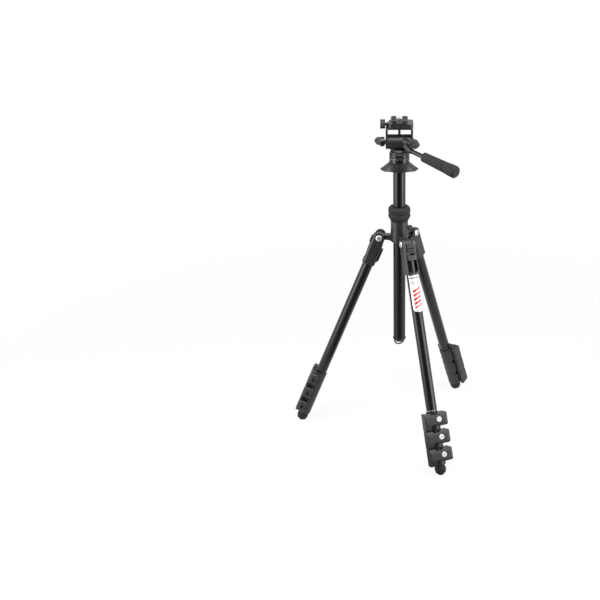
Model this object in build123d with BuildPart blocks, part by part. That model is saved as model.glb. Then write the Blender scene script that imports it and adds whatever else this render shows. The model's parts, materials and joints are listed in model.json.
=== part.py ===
from build123d import *
import os
from math import cos, hypot, radians, sin

# Travel tripod with a pan head: three four-section legs on a spider, a sliding centre column, and a
# head that pans, tilts and carries a quick-release plate. Millimetres, +Z up, origin on the floor
# under the column, front leg towards -Y.

os.makedirs("parts", exist_ok=True)

# Fits
running_fit = 0.08      # radial play of a pin that turns in its hole
seat_fit = 0.03         # radial play of a piece that is pressed or glued in
slide_gap = 0.3         # play between pieces that slide or turn past each other
face_gap = 0.2          # play between flat faces that turn on each other
edge_break = 0.8        # chamfer on small machined edges

# Legs
leg_names = ("front", "right", "left")
leg_step = 120.0
sections = 4
first_leg_azimuth = -90.0
leg_splay = 22.2
pivot_radius = 40.0
tube_diameter = 22.0
tube_wall = 1.2
tube_reach = 280.0      # bare length of the top tube between casting and first lock
tube_stagger = 10.0     # each inner tube starts this much lower than the one round it
bush_length = 12.0

# Leg castings
casting_length = 62.0
casting_width = 27.0
casting_head_radius = 11.0
casting_corner = 7.0
casting_web_top = 24.0
casting_web = 6.0
keel_depth = 4.0
keel_width = 8.0
window_width = 20.0
window_length = 25.0
window_lip = 3.0
window_corner = 6.0

# Leg pivots and angle stops
arm_thickness = 14.0
arm_nose_radius = 9.0
arm_waist = 10.0
bolt_radius = 3.0
bolt_head_radius = 6.4
bolt_head_height = 2.2
bolt_head_taper = 22.0
bolt_socket = 5.0
stop_top = 3.0
stop_length = 17.0
stop_lug = 3.0
stop_rib_radius = 2.6

# Leg locks
lock_height = 35.6
lock_pitch = 36.0
lock_ring_radius = 13.0
lock_tube_seat = 22.0
hinge_out = 6.0         # hinge pin, outwards of the tube's axis
hinge_side = 18.0       # hinge pin, to the side of the tube's axis
pin_radius = 2.0
ear_radius = 4.0
ear_height = 8.0
clasp_side = 17.0
clasp_depth = 10.0
lever_knuckle = 5.2
lever_front = 20.3
lever_taper = 4.6
lever_tail = 25.5
lever_tail_width = 14.0
lever_lobe_height = 27.0
lever_band_height = 20.0
lever_top = 0.5
lever_corner = 6.5
lever_screw_side = 5.5   # screw, to the side of the tube's axis
lever_screw_radius = 6.2
lever_screw_depth = 1.6

# Feet
foot_length = 22.9
foot_neck_radius = 9.8
foot_ball_radius = 11.6
foot_bevels = (90.0, 60.0, 20.0)  # rings of the bevelled ball, from the way down the leg
foot_flat = 0.6         # height cut off the ball so that it stands flat
foot_socket = 14.0

# Spider and column lock
spider_radius = 17.5
spider_below_pivot = 8.0
spider_height = 44.5
column_diameter = 25.0
column_wall = 1.5
neck_wall = 3.6
collar_height = 29.5
collar_radius = 22.3
collar_groove = 1.6
collar_foot_radius = 18.2
side_knob_azimuth = -16.0
side_knob_drop = 17.0   # below the top of the spider
side_knob_radius = 5.2
side_knob_length = 8.0
side_knob_stem = 2.5

# Centre column
column_length = 371.0
column_above_pivot = 147.5
end_cap_height = 8.0
end_cap_radius = 13.4
end_cap_flange = 3.0
end_cap_boss = 8.5
end_cap_plug = 10.0
bail_wire = 1.5
bail_pivot_up = 2.7
bail_pin = 3.0

# Head
head_azimuth = -22.87
plate_tip_radius = 39.0
plate_tip_up = 6.5
plate_tip_edge = 2.0
plate_height = 19.0
plate_socket = 8.0
scallop_radius = 40.0
scallop_depth = 24.0
pan_radius = 20.0
pan_height = 18.0
pan_groove = 0.8
spindle_radius = 6.0
spindle_height = 7.5
turret_radius = 18.5
turret_rim = 2.0
turret_top_radius = 12.5
turret_cone = 7.0
tilt_height = 40.0      # tilt axis above the bottom of the pan drum
drum_radius = 14.5
pillar_half = 7.0
pillar_depth = 9.0
shaft_radius = 4.0
cheek_inner = 22.5
cheek_thickness = 4.0
cheek_depth = 24.0
shaft_cap_radius = 9.5
shaft_cap_length = 8.6
shaft_cap_gap = 2.4
platform_up = 28.0      # underside of the platform above the tilt axis
platform_thickness = 3.0
platform_depth = 34.0
platform_corner = 4.0
post_radius = 2.5
head_knob_angle = -45.0  # handle and tilt lock, seen from above, against the tilt axis
lock_boss_radius = 6.2
lock_bore_start = 16.0
lock_boss_reach = 26.5
lock_boss_up = 3.5
wing_stem_radius = 3.0
wing_hub_radius = 5.0
wing_hub_length = 8.0
wing_length = 22.0
wing_height = 18.0
wing_thickness = 5.5
pan_lock_angle = 143.0   # pan lock, seen from above, against the tilt axis
pan_lock_start = 33.0    # boss of the pan lock, clear of the tilt drum
pan_lock_reach = 38.5
pan_lock_down = 7.5
pan_wing_length = 17.0
pan_wing_height = 15.0

# Handle
handle_droop = 8.0
handle_start = 32.0
handle_down = 12.0
handle_socket = 6.0
arm_end_radius = 4.2
arm_end_down = 9.0
rosette_radius = 5.5
rosette_thickness = 2.5
rod_radius = 4.5
rod_length = 34.0
rod_in_grip = 16.0
grip_length = 60.0
grip_radius = 9.4
grip_end_radius = 11.0
grip_flutes = 14
grip_flute_radius = 1.3
grip_band = 9.0         # plain ring at the front of the grip, before the flutes
grip_cap_length = 27.0
grip_cap_radius = 12.0
grip_cap_notches = 4

# Quick release
clamp_width = 48.0
clamp_depth = 36.0
clamp_height = 8.5
clamp_offset = 3.0
clamp_corner = 6.0
dovetail_width = 34.0
dovetail_depth = 5.0
dovetail_lean = 2.4
clamp_knob_radius = 9.0
clamp_knob_length = 9.5
clamp_knob_gap = 3.5
clamp_boss_reach = 3.0
qr_depth = 34.0
qr_pad_height = 7.0
qr_slot = 11.0
qr_recess = 3.0
camera_screw_radius = 3.175  # quarter-inch camera thread
camera_screw_shank = 2.6     # relieved under the thread, so that the screw stays in the plate
camera_screw_up = 5.0
camera_screw_head = 5.5
camera_screw_head_height = 2.4
camera_screw_slot = 1.2

# Heights and depths that follow from the sizes above
first_lock = casting_length + tube_reach
foot_top = first_lock + (sections - 2) * lock_pitch + lock_height
leg_length = foot_top + foot_length
pivot_height = leg_length * cos(radians(leg_splay))
cheek_face = casting_width / 2
stop_gap = arm_nose_radius + slide_gap
spider_bottom = pivot_height - spider_below_pivot
spider_top = spider_bottom + spider_height
column_radius = column_diameter / 2
neck_radius = column_radius + slide_gap + neck_wall
column_top = pivot_height + column_above_pivot
column_bottom = column_top - column_length
plate_bottom = column_top - plate_socket
pan_bottom = plate_bottom + plate_height
turret_bottom = pan_bottom + pan_height + face_gap
tilt_axis_height = pan_bottom + tilt_height
clamp_bottom = tilt_axis_height + platform_up + platform_thickness
clamp_top = clamp_bottom + clamp_height
pad_top = clamp_top + face_gap + qr_pad_height
rise = Vector(0, 0, 1)


def finish(piece, name):
    """Label a finished piece and write its file."""
    piece.part.label = name
    export_step(piece.part, f"parts/{name}.step")


def tube_outside(section):
    """Outside diameter of a leg section, counted from 1 at the top: each fits inside the last."""
    return tube_diameter - 2 * (section - 1) * (tube_wall + slide_gap)


def tube_top(section):
    """Depth at which a leg section starts when the leg is pushed in."""
    return casting_web_top + casting_web + (section - 1) * tube_stagger


def lock_top(number):
    """Depth at which a leg lock starts when the leg is pushed in."""
    return first_lock + (number - 1) * lock_pitch


def level(azimuth):
    """Horizontal direction at an azimuth."""
    return Vector(cos(radians(azimuth)), sin(radians(azimuth)), 0)


def leg_axes(azimuth):
    """Pivot point of a leg, the way square to its tube and outwards, and the way down its tube."""
    radial = level(azimuth)
    lean = radians(leg_splay)
    pivot = radial * pivot_radius + rise * pivot_height
    out = radial * cos(lean) + rise * sin(lean)
    along = radial * sin(lean) - rise * cos(lean)
    return pivot, out, along


def across(leg, depth):
    """Section plane at a depth down a leg: x outwards, y counter-clockwise, normal up the leg."""
    pivot, out, along = leg
    return Plane(origin=pivot + along * depth, x_dir=out, z_dir=along * -1)


def side_on(leg, depth=0.0):
    """Plane along a leg's tube from a depth: x outwards, y down the leg, normal counter-clockwise."""
    pivot, out, along = leg
    return Plane(origin=pivot + along * depth, x_dir=out, z_dir=out.cross(along))


def face_on(leg, depth, outwards=0.0):
    """Plane across the outer side of a leg: x counter-clockwise, y down the leg, normal inwards."""
    pivot, out, along = leg
    origin = pivot + along * depth + out * outwards
    return Plane(origin=origin, x_dir=out.cross(along), z_dir=out * -1)


def make_casting(leg, name):
    """Forked casting: two cheeks round the pivot, a web, and a sleeve with a window for the tube."""
    sleeve_top = casting_web_top + casting_web
    keel_face = cheek_face + keel_depth
    with BuildPart() as casting:
        with BuildSketch(side_on(leg)) as side:
            Circle(casting_head_radius)
            with Locations((0, casting_length)):
                Rectangle(casting_width, casting_length - casting_web_top, align=(Align.CENTER, Align.MAX))
            make_hull(side.edges())
        extrude(amount=cheek_face, both=True)
        with BuildSketch(across(leg, -casting_head_radius)):
            RectangleRounded(casting_width, casting_width, casting_corner)
        extrude(amount=-(casting_head_radius + casting_length), mode=Mode.INTERSECT)
        with BuildSketch(side_on(leg)):
            with BuildLine():
                Polyline(
                    (-cheek_face + casting_web / 2, casting_web_top),
                    (-keel_face, casting_web_top),
                    (-keel_face, casting_length - 3 * keel_depth),
                    (-cheek_face + casting_web / 4, casting_length - keel_depth),
                    close=True,
                )
            make_face()
        extrude(amount=keel_width / 2, both=True)
        with BuildSketch(face_on(leg, casting_web_top)):
            slot_length = casting_web_top + 2 * casting_head_radius
            Rectangle(arm_thickness + 2 * slide_gap, slot_length, align=(Align.CENTER, Align.MAX))
        extrude(amount=2 * casting_width, both=True, mode=Mode.SUBTRACT)
        with BuildSketch(across(leg, sleeve_top)):
            Circle(tube_diameter / 2 + seat_fit)
        extrude(amount=-casting_length, mode=Mode.SUBTRACT)
        with BuildSketch(face_on(leg, casting_length - window_lip)) as window:
            Rectangle(window_width, window_length, align=(Align.CENTER, Align.MAX))
            fillet(window.vertices().sort_by(Axis.Y)[-2:], window_corner)
        extrude(amount=-casting_width, mode=Mode.SUBTRACT)
        with BuildSketch(side_on(leg)):
            Circle(bolt_radius + running_fit)
        extrude(amount=casting_width, both=True, mode=Mode.SUBTRACT)
    finish(casting, name)


def make_angle_stop(leg, name):
    """Sliding stop between the cheeks: its top meets the lug of the arm, two ribs take the thumb."""
    rib_step = stop_length / 3
    with BuildPart() as stop:
        with BuildSketch(side_on(leg, stop_top)):
            with Locations((stop_gap / 2, 0)):
                Rectangle(cheek_face - stop_gap / 2, stop_length, align=(Align.MIN, Align.MIN))
            with Locations((cheek_face, rib_step), (cheek_face, 2 * rib_step)):
                Circle(stop_rib_radius)
        extrude(amount=arm_thickness / 2, both=True)
        with BuildSketch(side_on(leg)):
            Circle(stop_gap)
        extrude(amount=arm_thickness, both=True, mode=Mode.SUBTRACT)
    finish(stop, name)


def make_tube(leg, section, bottom, name):
    """Leg tube; the inner sections carry a bush at the top that runs in the tube round them."""
    outside = tube_outside(section)
    with BuildPart() as tube:
        with BuildSketch(across(leg, tube_top(section))):
            Circle(outside / 2)
            Circle(outside / 2 - tube_wall, mode=Mode.SUBTRACT)
        extrude(amount=tube_top(section) - bottom)
        if section > 1:
            with BuildSketch(across(leg, tube_top(section))):
                Circle(outside / 2 + slide_gap - running_fit)
                Circle(outside / 2 - tube_wall, mode=Mode.SUBTRACT)
            extrude(amount=-bush_length)
    finish(tube, name)


def make_lock_collar(leg, number, name):
    """Clamp ring on the end of a section, with a clasp block and the ear and pin of its lever."""
    top = lock_top(number)
    ear_top = lever_top + (lever_lobe_height - ear_height) / 2
    pin_top = lever_top + lever_lobe_height / 8
    with BuildPart() as collar:
        with BuildSketch(across(leg, top)):
            Circle(lock_ring_radius)
        extrude(amount=-lock_height)
        chamfer(collar.edges().filter_by(GeomType.CIRCLE), edge_break / 2)
        with BuildSketch(across(leg, top + lock_height / 8)):
            with Locations((0, -clasp_side)):
                Rectangle(clasp_depth, clasp_side, align=(Align.CENTER, Align.MIN))
        extrude(amount=-lock_height * 3 / 4)
        with BuildSketch(across(leg, top + ear_top)) as ear:
            with Locations((hinge_out, hinge_side), (hinge_out / 2, hinge_side / 2)):
                Circle(ear_radius)
            make_hull(ear.edges())
        extrude(amount=-ear_height)
        with BuildSketch(across(leg, top + pin_top)):
            with Locations((hinge_out, hinge_side)):
                Circle(pin_radius)
        extrude(amount=2 * pin_top - 2 * lever_top - lever_lobe_height)
        with BuildSketch(across(leg, top)):
            Circle(tube_outside(number) / 2 + seat_fit)
        extrude(amount=-lock_tube_seat, mode=Mode.SUBTRACT)
        with BuildSketch(across(leg, top)):
            Circle(tube_outside(number + 1) / 2 + slide_gap)
        extrude(amount=-lock_height, mode=Mode.SUBTRACT)
    finish(collar, name)


def make_lock_lever(leg, number, name):
    """Door lever: hinged at the side, it wraps the outer face and ends in a tall tail to pull on."""
    top = lock_top(number)
    ear_top = lever_top + (lever_lobe_height - ear_height) / 2
    lobe_middle = lever_top + lever_lobe_height / 2
    lobe_radius = lever_tail - hinge_side
    tail_tip = lever_tail_width / 4
    with BuildPart() as lever:
        with BuildSketch(across(leg, top)) as section:
            with Locations((hinge_out, hinge_side)):
                Circle(lever_knuckle)
            with Locations((lever_front - lobe_radius, hinge_side)):
                Circle(lobe_radius)
            tail_end = tail_tip - lever_tail
            with Locations((lever_front - tail_tip, tail_end), (tail_tip, tail_end)):
                Circle(tail_tip)
            make_hull(section.edges())
            Circle(lock_ring_radius + slide_gap + face_gap, mode=Mode.SUBTRACT)
            with Locations((hinge_out, hinge_side)):
                room = hinge_side + clasp_side + slide_gap
                Rectangle(2 * lever_tail, room, align=(Align.MAX, Align.MAX), mode=Mode.SUBTRACT)
                Circle(lever_knuckle)
        extrude(amount=-lock_pitch)
        with BuildSketch(face_on(leg, top)) as outline:
            with Locations((-lever_tail, lever_top)):
                Rectangle(lever_tail_width, lock_pitch - 2 * lever_top, align=(Align.MIN, Align.MIN))
            with Locations((-lever_tail, lobe_middle)):
                Rectangle(lever_tail + hinge_side, lever_band_height, align=(Align.MIN, Align.CENTER))
            with Locations((lever_tail, lobe_middle)):
                Rectangle(3 * lobe_radius, lever_lobe_height, align=(Align.MAX, Align.CENTER))
            fillet(outline.vertices().sort_by(Axis.X)[:-2], lever_screw_depth)
            fillet(outline.vertices().sort_by(Axis.X)[-2:], lever_corner)
        extrude(amount=2 * lever_front, both=True, mode=Mode.INTERSECT)
        with BuildSketch(side_on(leg, top)):
            with BuildLine():
                front_top = (lever_front - lever_taper / 2, 0)
                front_bulge = (lever_front, lock_pitch / 4)
                front_bottom = (lever_front - lever_taper, lock_pitch)
                ThreePointArc(front_top, front_bulge, front_bottom)
                Polyline(front_bottom, (-lever_tail, lock_pitch), (-lever_tail, 0), front_top)
            make_face()
        extrude(amount=2 * lever_tail, both=True, mode=Mode.INTERSECT)
        with BuildSketch(across(leg, top + ear_top - face_gap)):
            with Locations((hinge_out + ear_radius + slide_gap, hinge_side)):
                Rectangle(2 * lever_front, 3 * lobe_radius, align=(Align.MAX, Align.CENTER))
        extrude(amount=-(ear_height + 2 * face_gap), mode=Mode.SUBTRACT)
        with BuildSketch(across(leg, top)):
            with Locations((hinge_out, hinge_side)):
                Circle(pin_radius + running_fit)
        extrude(amount=-lock_pitch, mode=Mode.SUBTRACT)
        with BuildSketch(face_on(leg, top + lobe_middle, lever_front - lever_screw_depth)):
            with Locations((lever_screw_side, 0)):
                Circle(lever_screw_radius)
        extrude(amount=-lever_front, mode=Mode.SUBTRACT)
    finish(lever, name)


def make_foot(leg, name):
    """Rubber foot: a neck that swells to a bevelled ball, cut flat where it stands."""
    pivot, out, along = leg
    ball_depth = foot_length - (foot_ball_radius - foot_flat) / cos(radians(leg_splay))
    neck_end = foot_length / 8
    with BuildPart() as foot:
        with BuildSketch(side_on(leg, foot_top)):
            with BuildLine():
                round_end = []
                for angle in foot_bevels:
                    ring = Vector(foot_ball_radius, 0).rotate(Axis.Z, 90 - angle)
                    round_end.append((ring.X, ball_depth + ring.Y))
                Polyline(
                    (0, 0),
                    (foot_neck_radius, 0),
                    (foot_neck_radius, neck_end),
                    (foot_ball_radius, ball_depth * 2 / 3),
                    *round_end,
                    (0, round_end[-1][1]),
                    close=True,
                )
            make_face()
        revolve(axis=Axis(pivot, along))
        with BuildSketch(across(leg, foot_top)):
            Circle(tube_outside(sections) / 2 + seat_fit)
        extrude(amount=-foot_socket, mode=Mode.SUBTRACT)
        split(bisect_by=Plane.XY, keep=Keep.TOP)
    finish(foot, name)


def make_leg(leg, name):
    """All pieces of one leg."""
    make_casting(leg, f"{name}_leg_casting")
    make_angle_stop(leg, f"{name}_angle_stop")
    for number in range(1, sections):
        make_tube(leg, number, lock_top(number) + lock_tube_seat, f"{name}_leg_tube_{number}")
        make_lock_collar(leg, number, f"{name}_lock_collar_{number}")
        make_lock_lever(leg, number, f"{name}_lock_lever_{number}")
    make_tube(leg, sections, foot_top + foot_socket, f"{name}_leg_tube_{sections}")
    make_foot(leg, f"{name}_foot")


legs = [leg_axes(first_leg_azimuth + leg_step * index) for index in range(len(leg_names))]
for leg, name in zip(legs, leg_names):
    make_leg(leg, name)

with BuildPart() as leg_pivot_bolts:
    for leg in legs:
        with BuildSketch(side_on(leg)):
            Circle(bolt_radius)
        extrude(amount=cheek_face + face_gap + bolt_head_height / 2, both=True)
        for way in (1, -1):
            head_plane = side_on(leg).offset(way * (cheek_face + face_gap))
            with BuildSketch(head_plane):
                Circle(bolt_head_radius)
            extrude(amount=way * bolt_head_height, taper=bolt_head_taper)
            with BuildSketch(head_plane.offset(way * bolt_head_height)):
                RegularPolygon(bolt_socket / 2, 6, major_radius=False)
            extrude(amount=-way * bolt_head_height * 2 / 3, mode=Mode.SUBTRACT)
finish(leg_pivot_bolts, "leg_pivot_bolts")


def beside(direction, height):
    """Upright plane through the column's axis: x along a horizontal direction, y up."""
    return Plane(origin=rise * height, x_dir=direction, z_dir=direction.cross(rise))


def facing(direction, reach, height):
    """Plane square to a horizontal direction, at a reach from the column's axis: x to the side, y up."""
    return Plane(origin=direction * reach + rise * height, x_dir=rise.cross(direction), z_dir=direction)


side_knob_way = level(side_knob_azimuth)
side_knob_height = spider_top - side_knob_drop
with BuildPart() as spider:
    with BuildSketch(Plane.XY.offset(spider_bottom)):
        Circle(spider_radius)
    extrude(amount=spider_height)
    chamfer(spider.edges().filter_by(GeomType.CIRCLE), edge_break)
    with BuildSketch(Plane.XY.offset(spider_top)):
        Circle(neck_radius)
    extrude(amount=collar_height - neck_wall)
    for index, leg in enumerate(legs):
        with BuildSketch(beside(level(first_leg_azimuth + leg_step * index), pivot_height)) as arm:
            with BuildLine():
                root = spider_radius - neck_wall
                Polyline(
                    (root, -spider_below_pivot),
                    (spider_radius + neck_wall, -arm_waist / 2),
                    (pivot_radius, -arm_waist / 2),
                    (pivot_radius, arm_waist / 2),
                    (spider_radius + neck_wall, arm_waist / 2),
                    (root, spider_below_pivot),
                    close=True,
                )
            make_face()
            with Locations((pivot_radius, 0)):
                Circle(arm_nose_radius)
            nose_start = pivot_radius - arm_nose_radius
            throat = arm.vertices().filter_by_position(Axis.X, nose_start, pivot_radius - face_gap)
            fillet(throat, arm_waist / 2)
        extrude(amount=arm_thickness / 2, both=True)
        with BuildSketch(side_on(leg)):
            with Locations((cheek_face - slide_gap, stop_top - slide_gap)):
                Rectangle(cheek_face / 2, stop_lug, align=(Align.MAX, Align.MAX))
        extrude(amount=arm_thickness / 2, both=True)
        with BuildSketch(side_on(leg)):
            Circle(bolt_radius + seat_fit)
        extrude(amount=arm_thickness, both=True, mode=Mode.SUBTRACT)
    with BuildSketch(facing(side_knob_way, 0, side_knob_height)):
        Circle(side_knob_stem + running_fit)
    extrude(amount=2 * spider_radius, mode=Mode.SUBTRACT)
    with BuildSketch(Plane.XY.offset(spider_bottom)):
        Circle(column_radius + slide_gap)
    extrude(amount=spider_height + collar_height, mode=Mode.SUBTRACT)
finish(spider, "spider")

with BuildPart() as spider_lock_screw:
    with BuildSketch(facing(side_knob_way, column_radius + 2 * slide_gap, side_knob_height)):
        Circle(side_knob_stem)
    extrude(amount=spider_radius - column_radius + face_gap)
    with BuildSketch(facing(side_knob_way, spider_radius + face_gap, side_knob_height)):
        RegularPolygon(side_knob_radius, 6)
    extrude(amount=side_knob_length)
    chamfer(spider_lock_screw.faces().sort_by(Axis(rise * 0, side_knob_way))[-1].edges(), edge_break)
finish(spider_lock_screw, "spider_lock_screw")

ring_low = collar_height / 4
ring_split = collar_height / 2
ring_high = collar_height - neck_wall
lid_bore = column_radius + 2 * slide_gap
collar_bore = neck_radius + slide_gap
with BuildPart() as column_lock_collar:
    with BuildSketch(beside(level(0), spider_top + face_gap)):
        with BuildLine():
            shoulder = collar_radius - collar_groove / 2
            Polyline(
                (collar_bore, 0),
                (collar_foot_radius, 0),
                (shoulder, ring_low),
                (collar_radius, ring_low + collar_groove),
                (collar_radius, ring_split - 2 * collar_groove),
                (shoulder, ring_split - collar_groove),
                (collar_radius - collar_groove, ring_split),
                (shoulder, ring_split + collar_groove),
                (collar_radius, ring_split + 2 * collar_groove),
                (collar_radius, ring_high - collar_groove),
                (shoulder, ring_high),
                (collar_foot_radius, collar_height),
                (lid_bore, collar_height),
                (lid_bore, ring_high + 2 * face_gap),
                (collar_bore, ring_high + 2 * face_gap),
                close=True,
            )
        make_face()
    revolve(axis=Axis.Z)
finish(column_lock_collar, "column_lock_collar")

with BuildPart() as center_column:
    with BuildSketch(Plane.XY.offset(column_bottom)):
        Circle(column_radius)
        Circle(column_radius - column_wall, mode=Mode.SUBTRACT)
    extrude(amount=column_length)
finish(center_column, "center_column")

cap_bottom = column_bottom - end_cap_height
bail_height = cap_bottom + bail_pivot_up
bail_radius = hypot(end_cap_boss + slide_gap, bail_pivot_up) + bail_wire
with BuildPart() as column_end_cap:
    with BuildSketch(Plane.XY.offset(cap_bottom)):
        Circle(end_cap_boss)
    extrude(amount=end_cap_height)
    with BuildSketch(Plane.XY.offset(column_bottom - end_cap_flange)):
        Circle(end_cap_radius)
    extrude(amount=end_cap_flange)
    with BuildSketch(Plane.XY.offset(column_bottom)):
        Circle(column_radius - column_wall - seat_fit)
    extrude(amount=end_cap_plug)
    with BuildSketch(Plane.YZ):
        with Locations((0, bail_height)):
            Circle(bail_wire + running_fit)
    extrude(amount=end_cap_radius, both=True, mode=Mode.SUBTRACT)
finish(column_end_cap, "column_end_cap")

with BuildPart() as weight_hook:
    with BuildSketch(Plane.XY.offset(bail_height)):
        with Locations((bail_radius, 0)):
            Circle(bail_wire)
    revolve(axis=Axis((0, 0, bail_height), (0, 1, 0)), revolution_arc=180)
    with BuildSketch(Plane.YZ.offset(end_cap_boss - bail_pin)):
        with Locations((0, bail_height)):
            Circle(bail_wire)
    extrude(amount=bail_radius - end_cap_boss + bail_pin)
    with BuildSketch(Plane.YZ.offset(-bail_radius)):
        with Locations((0, bail_height)):
            Circle(bail_wire)
    extrude(amount=bail_radius - end_cap_boss + bail_pin)
finish(weight_hook, "weight_hook")

with BuildPart() as column_top_plate:
    with BuildSketch(beside(level(0), plate_bottom)):
        with BuildLine():
            Polyline(
                (0, 0),
                (column_radius + column_wall, 0),
                (plate_tip_radius, plate_tip_up),
                (plate_tip_radius, plate_tip_up + plate_tip_edge),
                (pan_radius, plate_height),
                (0, plate_height),
                close=True,
            )
        make_face()
    revolve(axis=Axis.Z)
    with BuildSketch(Plane.XY.offset(plate_bottom)):
        scallop_reach = plate_tip_radius - scallop_depth + scallop_radius
        with PolarLocations(scallop_reach, len(leg_names), head_azimuth - 90):
            Circle(scallop_radius)
    extrude(amount=plate_height, mode=Mode.SUBTRACT)
    with BuildSketch(beside(level(0), plate_bottom)):
        with BuildLine():
            Polyline(
                (0, 0),
                (column_radius + column_wall, 0),
                (pan_radius - pan_groove, plate_height),
                (0, plate_height),
                close=True,
            )
        make_face()
    revolve(axis=Axis.Z)
    with BuildSketch(Plane.XY.offset(plate_bottom)):
        Circle(column_radius + seat_fit)
    extrude(amount=plate_socket, mode=Mode.SUBTRACT)
finish(column_top_plate, "column_top_plate")

with BuildPart() as pan_base:
    with BuildSketch(beside(level(0), pan_bottom)):
        with BuildLine():
            Polyline(
                (0, 0),
                (pan_radius - pan_groove, 0),
                (pan_radius, pan_groove),
                (pan_radius, pan_height * 2 / 3 - pan_groove),
                (pan_radius - pan_groove, pan_height * 2 / 3),
                (pan_radius, pan_height * 2 / 3 + pan_groove),
                (pan_radius, pan_height - pan_groove),
                (pan_radius - pan_groove, pan_height),
                (spindle_radius, pan_height),
                (spindle_radius, pan_height + spindle_height),
                (0, pan_height + spindle_height),
                close=True,
            )
        make_face()
    revolve(axis=Axis.Z)
finish(pan_base, "pan_base")

tilt_way = level(head_azimuth)
away = level(head_azimuth + 90)
handle_way = level(head_azimuth + head_knob_angle)
pan_lock_way = level(head_azimuth + pan_lock_angle)
pillar_gap = pillar_half + 2 * face_gap
cheek_outer = cheek_inner + cheek_thickness
tilt_lock_height = tilt_axis_height + lock_boss_up
pan_lock_height = tilt_axis_height - pan_lock_down


def end_on(shift, up=0.0):
    """Plane square to the tilt axis, at a shift along it: x away from the viewer, y up."""
    return Plane(origin=tilt_way * shift + rise * (tilt_axis_height + up), x_dir=away, z_dir=tilt_way)


def plan(height):
    """Horizontal plane of the head: x along the tilt axis, y away."""
    return Plane(origin=rise * height, x_dir=tilt_way, z_dir=rise)


with BuildPart() as pan_turret:
    with BuildSketch(beside(level(0), turret_bottom)):
        with BuildLine():
            Polyline(
                (0, 0),
                (turret_radius, 0),
                (turret_radius, turret_rim),
                (turret_top_radius + turret_rim, 2 * turret_rim),
                (turret_top_radius, turret_cone),
                (0, turret_cone),
                close=True,
            )
        make_face()
    revolve(axis=Axis.Z)
    with BuildSketch(plan(turret_bottom)):
        Rectangle(2 * pillar_half, pillar_depth)
    extrude(amount=tilt_axis_height - turret_bottom)
    with BuildSketch(end_on(0)):
        Circle(drum_radius)
    extrude(amount=pillar_half, both=True)
    with BuildSketch(facing(pan_lock_way, pan_lock_start, pan_lock_height)):
        Circle(wing_hub_radius - slide_gap)
    extrude(amount=pan_lock_reach - pan_lock_start)
    with BuildSketch(beside(pan_lock_way, turret_bottom)):
        with BuildLine():
            gusset_top = pan_lock_height - turret_bottom
            Polyline(
                (turret_top_radius / 2, 0),
                (turret_radius - turret_rim, 0),
                (pan_lock_reach - turret_rim, gusset_top),
                (pan_lock_start, gusset_top),
                (turret_top_radius + turret_rim, 2 * turret_rim),
                (turret_top_radius / 2, 2 * turret_rim),
                close=True,
            )
        make_face()
    extrude(amount=wing_stem_radius, both=True)
    with BuildSketch(facing(pan_lock_way, pan_lock_start + turret_rim, pan_lock_height)):
        Circle(wing_stem_radius + running_fit)
    extrude(amount=pan_lock_reach, mode=Mode.SUBTRACT)
    with BuildSketch(plan(turret_bottom)):
        Circle(spindle_radius + running_fit)
    extrude(amount=spindle_height + slide_gap, mode=Mode.SUBTRACT)
    with BuildSketch(end_on(0)):
        Circle(shaft_radius + seat_fit)
    extrude(amount=pillar_half, both=True, mode=Mode.SUBTRACT)
finish(pan_turret, "pan_turret")

with BuildPart() as tilt_shaft:
    with BuildSketch(end_on(-cheek_outer - shaft_cap_gap)):
        Circle(shaft_radius)
    extrude(amount=2 * cheek_outer + 2 * shaft_cap_gap)
    with BuildSketch(end_on(-cheek_outer - shaft_cap_gap)):
        Circle(shaft_cap_radius)
    extrude(amount=-shaft_cap_length)
    cap_rims = tilt_shaft.faces().sort_by(Axis((0, 0, 0), tilt_way))[0].edges()
    chamfer(cap_rims, edge_break)
    with BuildSketch(end_on(cheek_outer + face_gap)):
        RegularPolygon(shaft_radius + shaft_cap_gap, 6)
    extrude(amount=shaft_cap_gap)
finish(tilt_shaft, "tilt_shaft")

handle_lean = radians(handle_droop)
handle_line = handle_way * cos(handle_lean) - rise * sin(handle_lean)
handle_foot = handle_way * handle_start + rise * (tilt_axis_height - handle_down)


def on_handle(reach):
    """Plane square to the handle's rod at a reach from its foot, with x level."""
    return Plane(origin=handle_foot + handle_line * reach, x_dir=rise.cross(handle_way), z_dir=handle_line)


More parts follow.
